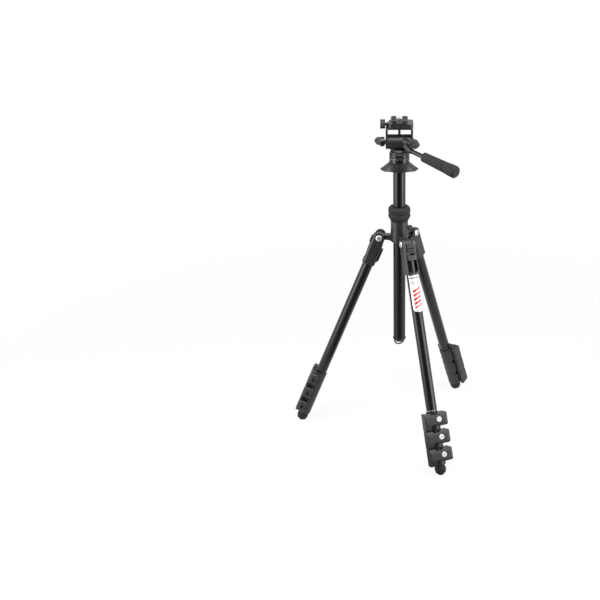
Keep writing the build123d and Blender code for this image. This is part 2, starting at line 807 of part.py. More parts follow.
arm_reach = handle_start - arm_end_radius - 2 * face_gap
with BuildPart() as tilt_cradle:
    for way in (1, -1):
        with BuildSketch(end_on(way * pillar_gap)):
            Circle(drum_radius)
        extrude(amount=way * (cheek_inner - pillar_gap))
        with BuildSketch(end_on(way * cheek_inner)) as cheek:
            Circle(drum_radius)
            with Locations((0, platform_up)):
                Rectangle(cheek_depth, platform_thickness, align=(Align.CENTER, Align.MIN))
            make_hull(cheek.edges())
            with Locations((0, platform_up * 2 / 3)):
                SlotOverall(cheek_depth * 2 / 3, post_radius * 3, mode=Mode.SUBTRACT)
        extrude(amount=way * cheek_thickness)
    with BuildSketch(plan(tilt_axis_height + platform_up)):
        RectangleRounded(2 * cheek_outer, platform_depth, platform_corner)
    extrude(amount=platform_thickness)
    with BuildSketch(plan(tilt_axis_height + drum_radius + 2 * slide_gap)):
        Circle(post_radius)
    extrude(amount=platform_up - drum_radius)
    with BuildSketch(facing(handle_way, drum_radius, tilt_lock_height)):
        Circle(lock_boss_radius)
    extrude(amount=lock_boss_reach - drum_radius)
    with BuildSketch(beside(handle_way, tilt_axis_height)) as arm:
        with Locations((lock_boss_reach - drum_radius / 2, -drum_radius / 3)):
            Circle(drum_radius / 3)
        with Locations((arm_reach, -arm_end_down)):
            Circle(arm_end_radius)
        make_hull(arm.edges())
    extrude(amount=rosette_radius - rosette_thickness / 2, both=True)
    with BuildSketch(on_handle(-handle_socket)):
        Circle(rosette_radius)
    extrude(amount=handle_socket - face_gap)
    with BuildSketch(end_on(0)):
        Circle(drum_radius + slide_gap)
    extrude(amount=pillar_gap, both=True, mode=Mode.SUBTRACT)
    with BuildSketch(end_on(0)):
        Circle(shaft_radius + running_fit)
    extrude(amount=cheek_outer, both=True, mode=Mode.SUBTRACT)
    with BuildSketch(facing(handle_way, lock_bore_start, tilt_lock_height)):
        Circle(wing_stem_radius + running_fit)
    extrude(amount=lock_boss_reach, mode=Mode.SUBTRACT)
    with BuildSketch(on_handle(-handle_socket + face_gap)):
        Circle(wing_stem_radius + running_fit)
    extrude(amount=handle_socket, mode=Mode.SUBTRACT)
finish(tilt_cradle, "tilt_cradle")


def make_wing_knob(direction, start, reach, height, length, width, name):
    """Wing knob on a stem: a round hub and a flat six-sided paddle to turn it by."""
    hub = reach + face_gap
    paddle = hub + wing_hub_length / 2
    tip = paddle + length
    with BuildPart() as knob:
        with BuildSketch(facing(direction, start, height)):
            Circle(wing_stem_radius)
        extrude(amount=hub - start)
        with BuildSketch(facing(direction, hub, height)):
            Circle(wing_hub_radius)
        extrude(amount=wing_hub_length)
        with BuildSketch(beside(direction, height)) as wing:
            with BuildLine():
                Polyline(
                    (paddle, -wing_hub_radius),
                    (paddle + length / 4, -width / 2),
                    (tip - length / 3, -width / 2),
                    (tip, -width / 8),
                    (tip, width / 8),
                    (tip - length / 3, width / 2),
                    (paddle + length / 4, width / 2),
                    (paddle, wing_hub_radius),
                    close=True,
                )
            make_face()
            fillet(wing.vertices().sort_by(Axis.X)[2:], width / 8)
        extrude(amount=wing_thickness / 2, both=True)
    finish(knob, name)


make_wing_knob(
    handle_way,
    lock_bore_start + face_gap,
    lock_boss_reach,
    tilt_lock_height,
    wing_length,
    wing_height,
    "tilt_lock_knob",
)
make_wing_knob(
    pan_lock_way,
    pan_lock_start + turret_rim + face_gap,
    pan_lock_reach,
    pan_lock_height,
    pan_wing_length,
    pan_wing_height,
    "pan_lock_knob",
)

with BuildPart() as handle_rod:
    with BuildSketch(on_handle(-handle_socket + 2 * face_gap)):
        Circle(wing_stem_radius)
    extrude(amount=handle_socket)
    with BuildSketch(on_handle(0)):
        Circle(rosette_radius)
    extrude(amount=rosette_thickness)
    with BuildSketch(on_handle(0)):
        Circle(rod_radius)
    extrude(amount=rod_length + rod_in_grip)
finish(handle_rod, "handle_rod")

with BuildPart() as handle_grip:
    with BuildSketch(on_handle(rod_length)):
        Circle(grip_radius)
    with BuildSketch(on_handle(rod_length + grip_length)):
        Circle(grip_end_radius)
    loft()
    chamfer(handle_grip.edges().filter_by(GeomType.CIRCLE), grip_flute_radius)
    with BuildSketch(on_handle(rod_length + grip_band)):
        with PolarLocations(grip_end_radius, grip_flutes):
            Circle(grip_flute_radius)
    extrude(amount=grip_length - grip_band - 2 * grip_flute_radius, mode=Mode.SUBTRACT)
    with BuildSketch(on_handle(rod_length)):
        Circle(rod_radius + seat_fit)
    extrude(amount=rod_in_grip, mode=Mode.SUBTRACT)
finish(handle_grip, "handle_grip")

cap_start = rod_length + grip_length
with BuildPart() as handle_end_cap:
    with BuildSketch(on_handle(cap_start)):
        Circle(grip_end_radius)
    with BuildSketch(on_handle(cap_start + grip_cap_length / 2)):
        Circle(grip_cap_radius)
    loft()
    with BuildSketch(on_handle(cap_start + grip_cap_length / 2)):
        Circle(grip_cap_radius)
    extrude(amount=grip_cap_length / 2)
    cap_end = handle_end_cap.faces().sort_by(Axis(handle_foot, handle_line))[-1]
    chamfer(cap_end.edges(), grip_cap_radius / 4)
    with BuildSketch(on_handle(cap_start + grip_cap_length * 2 / 3)):
        with PolarLocations(grip_cap_radius + grip_flute_radius, grip_cap_notches, 180 / grip_cap_notches):
            Circle(2 * grip_flute_radius)
    extrude(amount=grip_cap_length, mode=Mode.SUBTRACT)
finish(handle_end_cap, "handle_end_cap")

clamp_left = clamp_offset - clamp_width / 2
knob_height = clamp_bottom + clamp_height / 2
boss_end = clamp_left - clamp_boss_reach
dovetail_bottom = clamp_top - dovetail_depth
dovetail_half = dovetail_width / 2
with BuildPart() as quick_release_clamp:
    with BuildSketch(plan(clamp_bottom)):
        with Locations((clamp_offset, 0)):
            RectangleRounded(clamp_width, clamp_depth, clamp_corner)
    extrude(amount=clamp_height)
    chamfer(quick_release_clamp.faces().sort_by(Axis.Z)[-1].edges(), edge_break)
    with BuildSketch(beside(tilt_way, dovetail_bottom)):
        with BuildLine():
            Polyline(
                (-dovetail_half, 0),
                (dovetail_half, 0),
                (dovetail_half - dovetail_lean, dovetail_depth),
                (dovetail_lean - dovetail_half, dovetail_depth),
                close=True,
            )
        make_face()
    extrude(amount=clamp_depth, both=True, mode=Mode.SUBTRACT)
    with BuildSketch(facing(tilt_way, clamp_left + clamp_boss_reach / 2, knob_height)):
        Circle(clamp_height / 2)
    extrude(amount=-clamp_boss_reach * 3 / 2)
    with BuildSketch(facing(tilt_way, boss_end, knob_height)):
        Circle(wing_stem_radius + running_fit)
    extrude(amount=clamp_boss_reach * 2, mode=Mode.SUBTRACT)
finish(quick_release_clamp, "quick_release_clamp")

with BuildPart() as clamp_knob:
    with BuildSketch(facing(tilt_way, boss_end + 2 * clamp_boss_reach - face_gap, knob_height)):
        Circle(wing_stem_radius)
    extrude(amount=-(2 * clamp_boss_reach + clamp_knob_gap))
    with BuildSketch(facing(tilt_way, boss_end - clamp_knob_gap, knob_height)):
        Circle(clamp_knob_radius)
        with PolarLocations(clamp_knob_radius + grip_flute_radius / 2, grip_flutes):
            Circle(grip_flute_radius, mode=Mode.SUBTRACT)
    extrude(amount=-clamp_knob_length)
finish(clamp_knob, "clamp_knob")

plate_half = dovetail_half - slide_gap
with BuildPart() as quick_release_plate:
    with BuildSketch(beside(tilt_way, dovetail_bottom + face_gap)):
        with BuildLine():
            Polyline(
                (-plate_half, 0),
                (plate_half, 0),
                (plate_half - dovetail_lean, dovetail_depth),
                (dovetail_lean - plate_half, dovetail_depth),
                close=True,
            )
        make_face()
    extrude(amount=qr_depth / 2, both=True)
    with BuildSketch(plan(clamp_top + face_gap)):
        RectangleRounded(2 * plate_half, qr_depth, platform_corner)
    extrude(amount=qr_pad_height)
    pad_rim = quick_release_plate.faces().sort_by(Axis.Z)[-1].edges()
    fillet(pad_rim, qr_recess / 2)
    with BuildSketch(plan(pad_top)):
        Rectangle(qr_slot, 2 * qr_depth)
    extrude(amount=-(qr_pad_height - qr_recess / 2), mode=Mode.SUBTRACT)
    with BuildSketch(plan(dovetail_bottom)):
        Circle(camera_screw_shank + running_fit)
    extrude(amount=2 * qr_pad_height, mode=Mode.SUBTRACT)
    with BuildSketch(plan(dovetail_bottom)):
        Circle(camera_screw_head + slide_gap)
    extrude(amount=camera_screw_head_height + 2 * face_gap, mode=Mode.SUBTRACT)
finish(quick_release_plate, "quick_release_plate")

screw_bottom = dovetail_bottom + 2 * face_gap
with BuildPart() as camera_screw:
    with BuildSketch(plan(screw_bottom)):
        Circle(camera_screw_head)
    extrude(amount=camera_screw_head_height)
    with BuildSketch(plan(screw_bottom)):
        Rectangle(3 * camera_screw_head, camera_screw_slot)
    extrude(amount=camera_screw_head_height / 2, mode=Mode.SUBTRACT)
    with BuildSketch(plan(screw_bottom + camera_screw_head_height)):
        Circle(camera_screw_shank)
    extrude(amount=pad_top - screw_bottom - camera_screw_head_height)
    with BuildSketch(plan(pad_top)):
        Circle(camera_screw_radius)
    extrude(amount=camera_screw_up)
    chamfer(camera_screw.faces().sort_by(Axis.Z)[-1].edges(), edge_break)
finish(camera_screw, "camera_screw")
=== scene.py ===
import json
import math

import bpy
import numpy as np
from bpy.props import FloatProperty, FloatVectorProperty, IntProperty, PointerProperty
from bpy.types import Operator, Panel, PropertyGroup
from mathutils import Matrix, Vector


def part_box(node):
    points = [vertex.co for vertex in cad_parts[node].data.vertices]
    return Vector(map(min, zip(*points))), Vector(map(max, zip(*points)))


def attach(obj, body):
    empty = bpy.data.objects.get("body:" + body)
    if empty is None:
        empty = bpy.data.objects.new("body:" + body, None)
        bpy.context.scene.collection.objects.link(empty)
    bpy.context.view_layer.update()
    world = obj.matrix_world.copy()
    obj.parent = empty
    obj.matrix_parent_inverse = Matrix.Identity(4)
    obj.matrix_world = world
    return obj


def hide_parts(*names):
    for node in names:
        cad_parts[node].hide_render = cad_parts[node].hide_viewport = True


bl_info = {
    "name": "Tripod finish",
    "version": (1, 0, 0),
    "blender": (4, 5, 0),
    "location": "View3D > Sidebar > Tripod",
    "description": "Finishes, small parts and studio of a camera tripod with a pan head",
    "category": "Object",
}

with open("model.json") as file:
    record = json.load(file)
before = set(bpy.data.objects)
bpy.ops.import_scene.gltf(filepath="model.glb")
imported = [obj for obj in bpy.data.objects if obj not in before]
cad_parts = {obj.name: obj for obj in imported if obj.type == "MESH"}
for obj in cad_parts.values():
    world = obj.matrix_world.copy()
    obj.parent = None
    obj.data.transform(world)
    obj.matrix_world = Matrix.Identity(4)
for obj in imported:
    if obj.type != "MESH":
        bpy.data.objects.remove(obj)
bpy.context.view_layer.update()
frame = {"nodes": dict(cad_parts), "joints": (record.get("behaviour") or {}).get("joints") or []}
JOINTS = {joint["name"]: joint for joint in frame["joints"]}
LEGS = ("front", "right", "left")
SECTIONS = (1, 2, 3, 4)
LOCKS = (1, 2, 3)
MM = 0.001
UP = np.array((0.0, 0.0, 1.0))
UPRIGHT = np.eye(3)             # axes of a piece that stands upright
WHITE = (1.0, 1.0, 1.0, 1.0)
PALE_EDGE_WEAR_AND_HIGHLIGHT = "#4a4c4b"             # paler tone of edges: wear where hands and bags rub, and a painted highlight where edges catch the light
SOFT_EDGE = math.radians(35)    # edges flatter than this are shaded smooth
SOCKET_MIDDLE = 0.2             # innermost ring of a key socket's floor, as a share of the socket


def linear(hex_colour):
    """Linear RGBA of an sRGB hex colour: (c / 12.92) below 0.04045, else ((c + 0.055) / 1.055) ^ 2.4."""
    srgb = np.array([int(hex_colour[i:i + 2], 16) for i in (1, 3, 5)]) / 255.0
    low, high = srgb / 12.92, ((srgb + 0.055) / 1.055) ** 2.4
    return (*np.where(srgb <= 0.04045, low, high).tolist(), 1.0)


class TripodSizes(PropertyGroup):
    """Sizes of the pieces that the scene adds."""
    screw_radius: FloatProperty(
        name="Lock screw radius", description="Head of the lever screws", unit="LENGTH", default=5.8 * MM)
    screw_height: FloatProperty(
        name="Lock screw height", description="Head above its recess", unit="LENGTH", default=1.5 * MM)
    screw_socket: FloatProperty(
        name="Lock screw socket", description="Half the key size", unit="LENGTH", default=2.0 * MM)
    bolt_radius: FloatProperty(
        name="Bolt head radius", description="Head of the pivot bolts", unit="LENGTH", default=6.4 * MM)
    bolt_height: FloatProperty(
        name="Bolt head height", description="Head above the casting", unit="LENGTH", default=2.2 * MM)
    bolt_reach: FloatProperty(
        name="Bolt reach", description="Pivot to the underside of a head", unit="LENGTH", default=13.7 * MM)
    bolt_socket: FloatProperty(
        name="Bolt socket", description="Half the key size", unit="LENGTH", default=2.5 * MM)
    label_start: FloatProperty(
        name="Label start", description="Depth down the front leg", unit="LENGTH", default=63.5 * MM)
    label_length: FloatProperty(
        name="Label length", description="Length down the tube", unit="LENGTH", default=74.0 * MM)
    label_spread: FloatProperty(
        name="Label spread", description="Arc that it covers", subtype="ANGLE", default=math.radians(145.0))
    label_turn: FloatProperty(
        name="Label turn", description="Centre of its arc, from outwards", subtype="ANGLE",
        default=math.radians(12.5))
    tube_radius: FloatProperty(
        name="Tube radius", description="Outside of the top leg tubes", unit="LENGTH", default=11.0 * MM)
    ring_above: FloatProperty(
        name="Ring height", description="Dashed ring above the first lock", unit="LENGTH", default=3.0 * MM)
    ring_dashes: IntProperty(name="Ring dashes", description="Dashes round the tube", default=14)
    ring_width: FloatProperty(
        name="Ring width", description="Width of the printed dashes", unit="LENGTH", default=1.3 * MM)
    foil: FloatProperty(
        name="Foil", description="Thickness of labels and prints", unit="LENGTH", default=0.12 * MM)
    collar_ribs: IntProperty(name="Collar ribs", description="Ribs round the twist collar", default=72)
    collar_rib: FloatProperty(
        name="Collar rib depth", description="Depth between two ribs", unit="LENGTH", default=0.45 * MM)
    thread_pitch: FloatProperty(
        name="Thread pitch", description="Quarter-inch camera thread", unit="LENGTH", default=1.27 * MM)
    scale_ticks: IntProperty(name="Scale ticks", description="Ticks round the pan drum", default=24)
    washer_shift: FloatProperty(
        name="Washer shift", description="Head's middle to a tilt washer", unit="LENGTH", default=7.2 * MM)
    washer_radius: FloatProperty(
        name="Washer radius", description="Outside of the tilt washers", unit="LENGTH", default=13.9 * MM)
    washer_bore: FloatProperty(
        name="Washer bore", description="Hole round the tilt shaft", unit="LENGTH", default=4.1 * MM)
    washer_thickness: FloatProperty(
        name="Washer thickness", description="Tilt washers", unit="LENGTH", default=0.3 * MM)
    rib_pitch: FloatProperty(
        name="Knob rib pitch", description="Distance between the ribs", unit="LENGTH", default=2.4 * MM)
    rib_height: FloatProperty(
        name="Knob rib height", description="Height of the ribs", unit="LENGTH", default=0.45 * MM)


class TripodColours(PropertyGroup):
    """Main colours of the finishes."""
    anodised: FloatVectorProperty(
        name="Anodised", description="Black anodised tubes", subtype="COLOR", size=4,
        default=linear("#070708"))
    coat: FloatVectorProperty(
        name="Powder coat", description="Castings", subtype="COLOR", size=4, default=linear("#1a1b1b"))
    plastic: FloatVectorProperty(
        name="Plastic", description="Locks and knobs", subtype="COLOR", size=4, default=linear("#1b1c1b"))
    rubber: FloatVectorProperty(
        name="Rubber", description="Feet, grip and collar", subtype="COLOR", size=4,
        default=linear("#1b1c1b"))
    steel: FloatVectorProperty(
        name="Steel", description="Plated bolts and screws", subtype="COLOR", size=4,
        default=linear("#d3d4d5"))
    oxide: FloatVectorProperty(
        name="Black oxide", description="Hook, springs and tilt shaft", subtype="COLOR", size=4,
        default=linear("#4a4b4d"))
    foil: FloatVectorProperty(
        name="Foil", description="Label ground", subtype="COLOR", size=4, default=linear("#d9d8d6"))
    red: FloatVectorProperty(
        name="Label red", description="Bars on the label", subtype="COLOR", size=4,
        default=linear("#b9202b"))
    print_white: FloatVectorProperty(
        name="Print", description="Scale ticks and dashes", subtype="COLOR", size=4,
        default=linear("#d5d5d2"))


class TripodStudio(PropertyGroup):
    """Camera and light of the studio."""
    camera_place: FloatVectorProperty(
        name="Camera", description="Camera position", subtype="TRANSLATION",
        default=(-0.864, -2.0485, 1.2885))
    camera_pitch: FloatProperty(
        name="Pitch", description="Camera pitch", subtype="ANGLE", default=math.radians(64.96))
    camera_turn: FloatProperty(
        name="Turn", description="Camera turn", subtype="ANGLE", default=math.radians(-22.87))
    lens: FloatProperty(name="Lens", description="Focal length", unit="CAMERA", default=70.5)
    shift_x: FloatProperty(name="Shift X", description="Sideways shift", default=-0.1656)
    shift_y: FloatProperty(name="Shift Y", description="Upwards shift", default=0.0351)
    strip_power: FloatProperty(
        name="Strip power", description="Power of each side light", unit="POWER", default=11.5)
    top_power: FloatProperty(
        name="Top power", description="Power of the overhead light", unit="POWER", default=26.0)
    ambient: FloatProperty(name="Ambient", description="Light from all round", subtype="FACTOR", default=0.12)
    front: FloatProperty(
        name="Front", description="Azimuth of the dark room before the set", subtype="ANGLE",
        default=math.radians(-112.9))


def add_node(tree, kind, inputs=(), **settings):
    """Add one node with its settings; an input is a value, or a socket to link."""
    node = tree.nodes.new(kind)
    for name, value in settings.items():
        setattr(node, name, value)
    for name, value in dict(inputs).items():
        if isinstance(value, bpy.types.NodeSocket):
            tree.links.new(value, node.inputs[name])
        else:
            node.inputs[name].default_value = value
    return node


def new_material(name):
    """Material of a name, made anew with one shader; returns the material, its tree and the shader."""
    material = bpy.data.materials.get(name) or bpy.data.materials.new(name)
    material.use_nodes = True
    tree = material.node_tree
    tree.nodes.clear()
    shader = add_node(tree, "ShaderNodeBsdfPrincipled")
    add_node(tree, "ShaderNodeOutputMaterial", {"Surface": shader.outputs[0]})
    return material, tree, shader


def grained(
        name, colour, second, patch_mm, grain_mm, roughness, bump, specular=None, metallic=0.0, edge_mm=0.0):
    """Surface with soft patches of a second tone and a fine bumpy grain, both sized in millimetres.

    Noise of the patch size moves the colour between the two tones and the roughness a little either way;
    noise of the grain size gives the bump, a quarter of that size deep. Edges look rounded to edge_mm and
    paler, partly as wear from handling and partly as a painted highlight: the paler share grows as the dot
    product of the rounded and the flat normal falls.
    """
    patch_detail, grain_detail = 4.0, 2.0
    patch_low, patch_high, swing = 0.3, 0.7, 0.05
    flat_dot, wear_and_highlight_dot, wear_and_highlight_share, edge_samples = 0.99, 0.8, 0.35, 6
    material, tree, shader = new_material(name)
    point = add_node(tree, "ShaderNodeTexCoord").outputs["Object"]
    patches = add_node(
        tree, "ShaderNodeTexNoise", {"Vector": point, "Scale": 1 / (patch_mm * MM), "Detail": patch_detail})
    grain = add_node(
        tree, "ShaderNodeTexNoise", {"Vector": point, "Scale": 1 / (grain_mm * MM), "Detail": grain_detail})
    tone = add_node(
        tree, "ShaderNodeMix", {0: patches.outputs[0], 6: tuple(colour), 7: linear(second)}, data_type="RGBA")
    gloss = add_node(tree, "ShaderNodeMapRange", {
        0: patches.outputs[0], 1: patch_low, 2: patch_high, 3: roughness - swing, 4: roughness + swing})
    relief = add_node(
        tree, "ShaderNodeBump", {"Height": grain.outputs[0], "Strength": bump, "Distance": grain_mm * MM / 4})
    if edge_mm:
        rounded = add_node(tree, "ShaderNodeBevel", {"Radius": edge_mm * MM}, samples=edge_samples)
        flat = add_node(tree, "ShaderNodeNewGeometry").outputs["True Normal"]
        facing = add_node(
            tree, "ShaderNodeVectorMath", {0: rounded.outputs[0], 1: flat}, operation="DOT_PRODUCT")
        # paler edges: partly wear from handling, partly a painted highlight where edges catch the light
        edge_wear_and_highlight = add_node(tree, "ShaderNodeMapRange", {
            0: facing.outputs["Value"], 1: flat_dot, 2: wear_and_highlight_dot, 3: 0.0, 4: wear_and_highlight_share})
        tone = add_node(
            tree, "ShaderNodeMix", {0: edge_wear_and_highlight.outputs[0], 6: tone.outputs[2], 7: linear(PALE_EDGE_WEAR_AND_HIGHLIGHT)},
            data_type="RGBA")
        tree.links.new(rounded.outputs[0], relief.inputs["Normal"])
    tree.links.new(tone.outputs[2], shader.inputs["Base Color"])
    tree.links.new(gloss.outputs[0], shader.inputs["Roughness"])
    tree.links.new(relief.outputs[0], shader.inputs["Normal"])
    shader.inputs["Metallic"].default_value = metallic
    if specular is not None:
        shader.inputs["Specular IOR Level"].default_value = specular
    return material


def anodised_aluminium(colours):
    """Black anodised tube, drawn and dyed: near black, with a clear but soft shine."""
    return grained(
        "black_anodised_aluminium", colours.anodised, second="#0b0b0c", patch_mm=9.0, grain_mm=1.2,
        roughness=0.24, bump=0.03, specular=0.4)


def powder_coat(colours):
    """Powder-coated casting: charcoal with a fine orange-peel grain, drawn 0.9 mm coarse so that it shows."""
    return grained(
        "charcoal_powder_coat", colours.coat, second="#222323", patch_mm=14.0, grain_mm=0.9,
        roughness=0.36, bump=0.22, specular=0.45, edge_mm=0.6)


def moulded_plastic(colours):
    """Glass-filled nylon, moulded in a sparked tool: charcoal, matte, with a fine even grain.

    The grain is drawn 0.7 mm coarse so that it shows.
    """
    return grained(
        "charcoal_moulded_nylon", colours.plastic, second="#232423", patch_mm=11.0, grain_mm=0.7,
        roughness=0.4, bump=0.25, specular=0.42, edge_mm=0.5)


def moulded_rubber(colours):
    """Moulded rubber: soft dark grey without a clear highlight."""
    return grained(
        "dark_moulded_rubber", colours.rubber, second="#232423", patch_mm=8.0, grain_mm=0.6,
        roughness=0.6, bump=0.3, specular=0.22, edge_mm=0.4)


def plated_steel(colours):
    """Zinc-plated steel, milky from its clear coat: part metal, part pale, with small changes of gloss."""
    return grained(
        "bright_plated_steel", colours.steel, second="#bfc1c3", patch_mm=2.0, grain_mm=0.4,
        roughness=0.3, bump=0.04, metallic=0.75)


def black_oxide_steel(colours):
    """Oiled black-oxide steel: a dark metal with a dull shine."""
    return grained(
        "black_oxide_steel", colours.oxide, second="#3a3b3d", patch_mm=3.0, grain_mm=0.5,
        roughness=0.35, bump=0.06, metallic=1.0)


def printed_white(colours):
    """Screen-printed ink: off-white and flat."""
    return grained(
        "white_screen_print", colours.print_white, second="#c4c4c0", patch_mm=2.0, grain_mm=0.3,
        roughness=0.5, bump=0.05, specular=0.4)


def label_foil(colours):
    """Printed foil label: silvery white with slanted red bars and thin rules; v runs down it, u across.

    A bar is where the slanted height v + slant * u, times the number of bars, has a fraction under the
    bar's share; bars stay inside a margin, in the lower part of the label, and the rules lie above them.
    """
    bar_count, slant, bar_share = 9.0, 0.16, 0.52
    across_middle, across_half = 0.52, 0.34
    down_middle, down_half = 0.66, 0.27
    rules = ((0.075, 0.012, "#2a2a2b"), (0.17, 0.008, "#8e8f90"), (0.22, 0.008, "#8e8f90"))
    material, tree, shader = new_material("silver_foil_label")
    uv = add_node(tree, "ShaderNodeTexCoord").outputs["UV"]
    parts = add_node(tree, "ShaderNodeSeparateXYZ", {0: uv})
    across, down = parts.outputs[0], parts.outputs[1]
    slanted = add_node(tree, "ShaderNodeMath", {0: across, 1: slant, 2: down}, operation="MULTIPLY_ADD")
    counted = add_node(tree, "ShaderNodeMath", {0: slanted.outputs[0], 1: bar_count}, operation="MULTIPLY")
    fraction = add_node(tree, "ShaderNodeMath", {0: counted.outputs[0]}, operation="FRACT")
    in_bar = add_node(tree, "ShaderNodeMath", {0: fraction.outputs[0], 1: bar_share}, operation="LESS_THAN")
    across_in = add_node(
        tree, "ShaderNodeMath", {0: across, 1: across_middle, 2: across_half}, operation="COMPARE")
    down_in = add_node(
        tree, "ShaderNodeMath", {0: slanted.outputs[0], 1: down_middle, 2: down_half}, operation="COMPARE")
    inside = add_node(
        tree, "ShaderNodeMath", {0: across_in.outputs[0], 1: down_in.outputs[0]}, operation="MULTIPLY")
    red = add_node(tree, "ShaderNodeMath", {0: inside.outputs[0], 1: in_bar.outputs[0]}, operation="MULTIPLY")
    tone = add_node(
        tree, "ShaderNodeMix", {0: red.outputs[0], 6: tuple(colours.foil), 7: tuple(colours.red)},
        data_type="RGBA")
    for middle, half, colour in rules:
        ruled = add_node(tree, "ShaderNodeMath", {0: down, 1: middle, 2: half}, operation="COMPARE")
        tone = add_node(
            tree, "ShaderNodeMix", {0: ruled.outputs[0], 6: tone.outputs[2], 7: linear(colour)},
            data_type="RGBA")
    tree.links.new(tone.outputs[2], shader.inputs["Base Color"])
    shader.inputs["Metallic"].default_value = 0.25
    shader.inputs["Roughness"].default_value = 0.38
    return material


def studio_white(tree, point, front):
    """Strength of the white surroundings, and the share of rays that see them.

    Straight on they are white; in a reflection they fade to the dark room in front of the set, where the
    dot product of a point's direction and the front way goes from the room's edge to its heart.
    """
    room_edge, room_heart, room_light = 0.75, 0.92, 0.1
    rays = add_node(tree, "ShaderNodeLightPath").outputs
    mirrored = add_node(
        tree, "ShaderNodeMath", {0: rays["Is Glossy Ray"], 1: rays["Is Transmission Ray"]},
        operation="MAXIMUM")
    direction = add_node(tree, "ShaderNodeVectorMath", {0: point}, operation="NORMALIZE")
    way = (math.cos(front), math.sin(front), 0.0)
    ahead = add_node(
        tree, "ShaderNodeVectorMath", {0: direction.outputs[0], 1: way}, operation="DOT_PRODUCT")
    room = add_node(tree, "ShaderNodeMapRange", {
        0: ahead.outputs["Value"], 1: room_edge, 2: room_heart, 3: 1.0, 4: room_light})
    lit = add_node(
        tree, "ShaderNodeMath", {0: mirrored.outputs[0], 1: room.outputs[0]}, operation="MULTIPLY")
    white = add_node(
        tree, "ShaderNodeMath", {0: rays["Is Camera Ray"], 1: lit.outputs[0]}, operation="MAXIMUM")
    seen = add_node(
        tree, "ShaderNodeMath", {0: rays["Is Camera Ray"], 1: mirrored.outputs[0]}, operation="MAXIMUM")
    return white.outputs[0], seen.outputs[0]


def floor_paper(front):
    """White studio paper: it glows white where it is seen, wholly so far away, and keeps a soft shadow."""
    near, far, near_glow = 0.35, 1.2, 0.9
    material, tree, shader = new_material("white_studio_paper")
    shader.inputs["Base Color"].default_value = linear("#f2f2f0")
    shader.inputs["Roughness"].default_value = 0.9
    shader.inputs["Specular IOR Level"].default_value = 0.1
    point = add_node(tree, "ShaderNodeTexCoord").outputs["Object"]
    white, seen = studio_white(tree, point, front)
    distance = add_node(tree, "ShaderNodeVectorMath", {0: point}, operation="LENGTH")
    spread = add_node(tree, "ShaderNodeMapRange", {
        0: distance.outputs["Value"], 1: near, 2: far, 3: near_glow, 4: 1.0})
    share = add_node(tree, "ShaderNodeMath", {0: seen, 1: spread.outputs[0]}, operation="MULTIPLY")
    glow = add_node(tree, "ShaderNodeEmission", {"Color": WHITE, "Strength": white})
    mixed = add_node(
        tree, "ShaderNodeMixShader", {0: share.outputs[0], 1: shader.outputs[0], 2: glow.outputs[0]})
    output = next(node for node in tree.nodes if node.type == "OUTPUT_MATERIAL")
    tree.links.new(mixed.outputs[0], output.inputs["Surface"])
    return material


def finish_nodes(material, *nodes):
    """Give CAD nodes their finish."""
    for node in nodes:
        mesh = frame["nodes"][node].data
        mesh.materials.clear()
        mesh.materials.append(material)


def unit(vector):
    """Vector of length one."""
    vector = np.asarray(vector, float)
    return vector / np.linalg.norm(vector)


def node_box(node):
    """Lowest and highest corner of a CAD node."""
    return [np.array(corner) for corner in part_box(node)]


def leg_axes(leg):
    """Pivot of a leg, and the ways outwards, counter-clockwise and down its tube, from its joints."""
    fold = JOINTS[f"{leg}_leg_fold"]
    along = unit(JOINTS[f"{leg}_section_2_slide"]["axis"])
    side = unit(fold["axis"])
    return np.array(fold["pos_m"]), np.cross(along, side), side, along


def place(origin, axes, local):
    """Local points, last axis x y z, set on an origin and three axes."""
    return np.asarray(origin) + np.asarray(local) @ np.stack(axes)


def around(count):
    """Angles of a full turn in equal steps."""
    return 2 * np.pi * np.arange(count) / count


def grid_faces(rows, columns, close_rows=False):
    """Quads of a grid whose columns run round and join up, and whose rows may."""
    steps = rows if close_rows else rows - 1
    row, column = np.meshgrid(np.arange(steps), np.arange(columns), indexing="ij")
    next_row, next_column = (row + 1) % rows, (column + 1) % columns
    corners = ((row, column), (row, next_column), (next_row, next_column), (next_row, column))
    return np.stack([r * columns + c for r, c in corners], -1).reshape(-1, 4)


def add_piece(name, points, faces, material, body, slot, replaced=None, uv=None):
    """New piece from points and blocks of faces, smooth but at sharp edges, on its body."""
    mesh = bpy.data.meshes.new(name)
    mesh.from_pydata(points.tolist(), [], [face for block in faces for face in block.tolist()])
    mesh.polygons.foreach_set("use_smooth", np.ones(len(mesh.polygons), bool))
    mesh.set_sharp_from_angle(angle=SOFT_EDGE)
    mesh.materials.append(material)
    if uv is not None:
        corners = np.zeros(len(mesh.loops), np.int32)
        mesh.loops.foreach_get("vertex_index", corners)
        layer = mesh.uv_layers.new(name="label")
        layer.data.foreach_set("uv", uv[corners].astype(np.float32).ravel())
    mesh.validate()
    mesh.update()
    piece = bpy.data.objects.new(name, mesh)
    bpy.context.scene.collection.objects.link(piece)
    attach(piece, body)
    if replaced:
        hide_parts(replaced)


def joined(shapes):
    """Several closed shapes as one: their points in a row, and the faces of each counted on from there."""
    starts = np.cumsum([0, *(len(points) for points, _ in shapes)])
    points = np.concatenate([points for points, _ in shapes])
    return points, [start + block for start, (_, faces) in zip(starts, shapes) for block in faces]


def carried_round(radius, height, sides):
    """Points of a profile carried round the third axis: radius * (cos a, sin a) and height.

    The radius and the height are given per ring, or per ring and angle.
    """
    angle, shape = around(sides), (len(height), sides)
    radius, height = np.broadcast_to(radius, shape), np.broadcast_to(height, shape)
    return np.stack([radius * np.cos(angle), radius * np.sin(angle), height], -1).reshape(-1, 3)


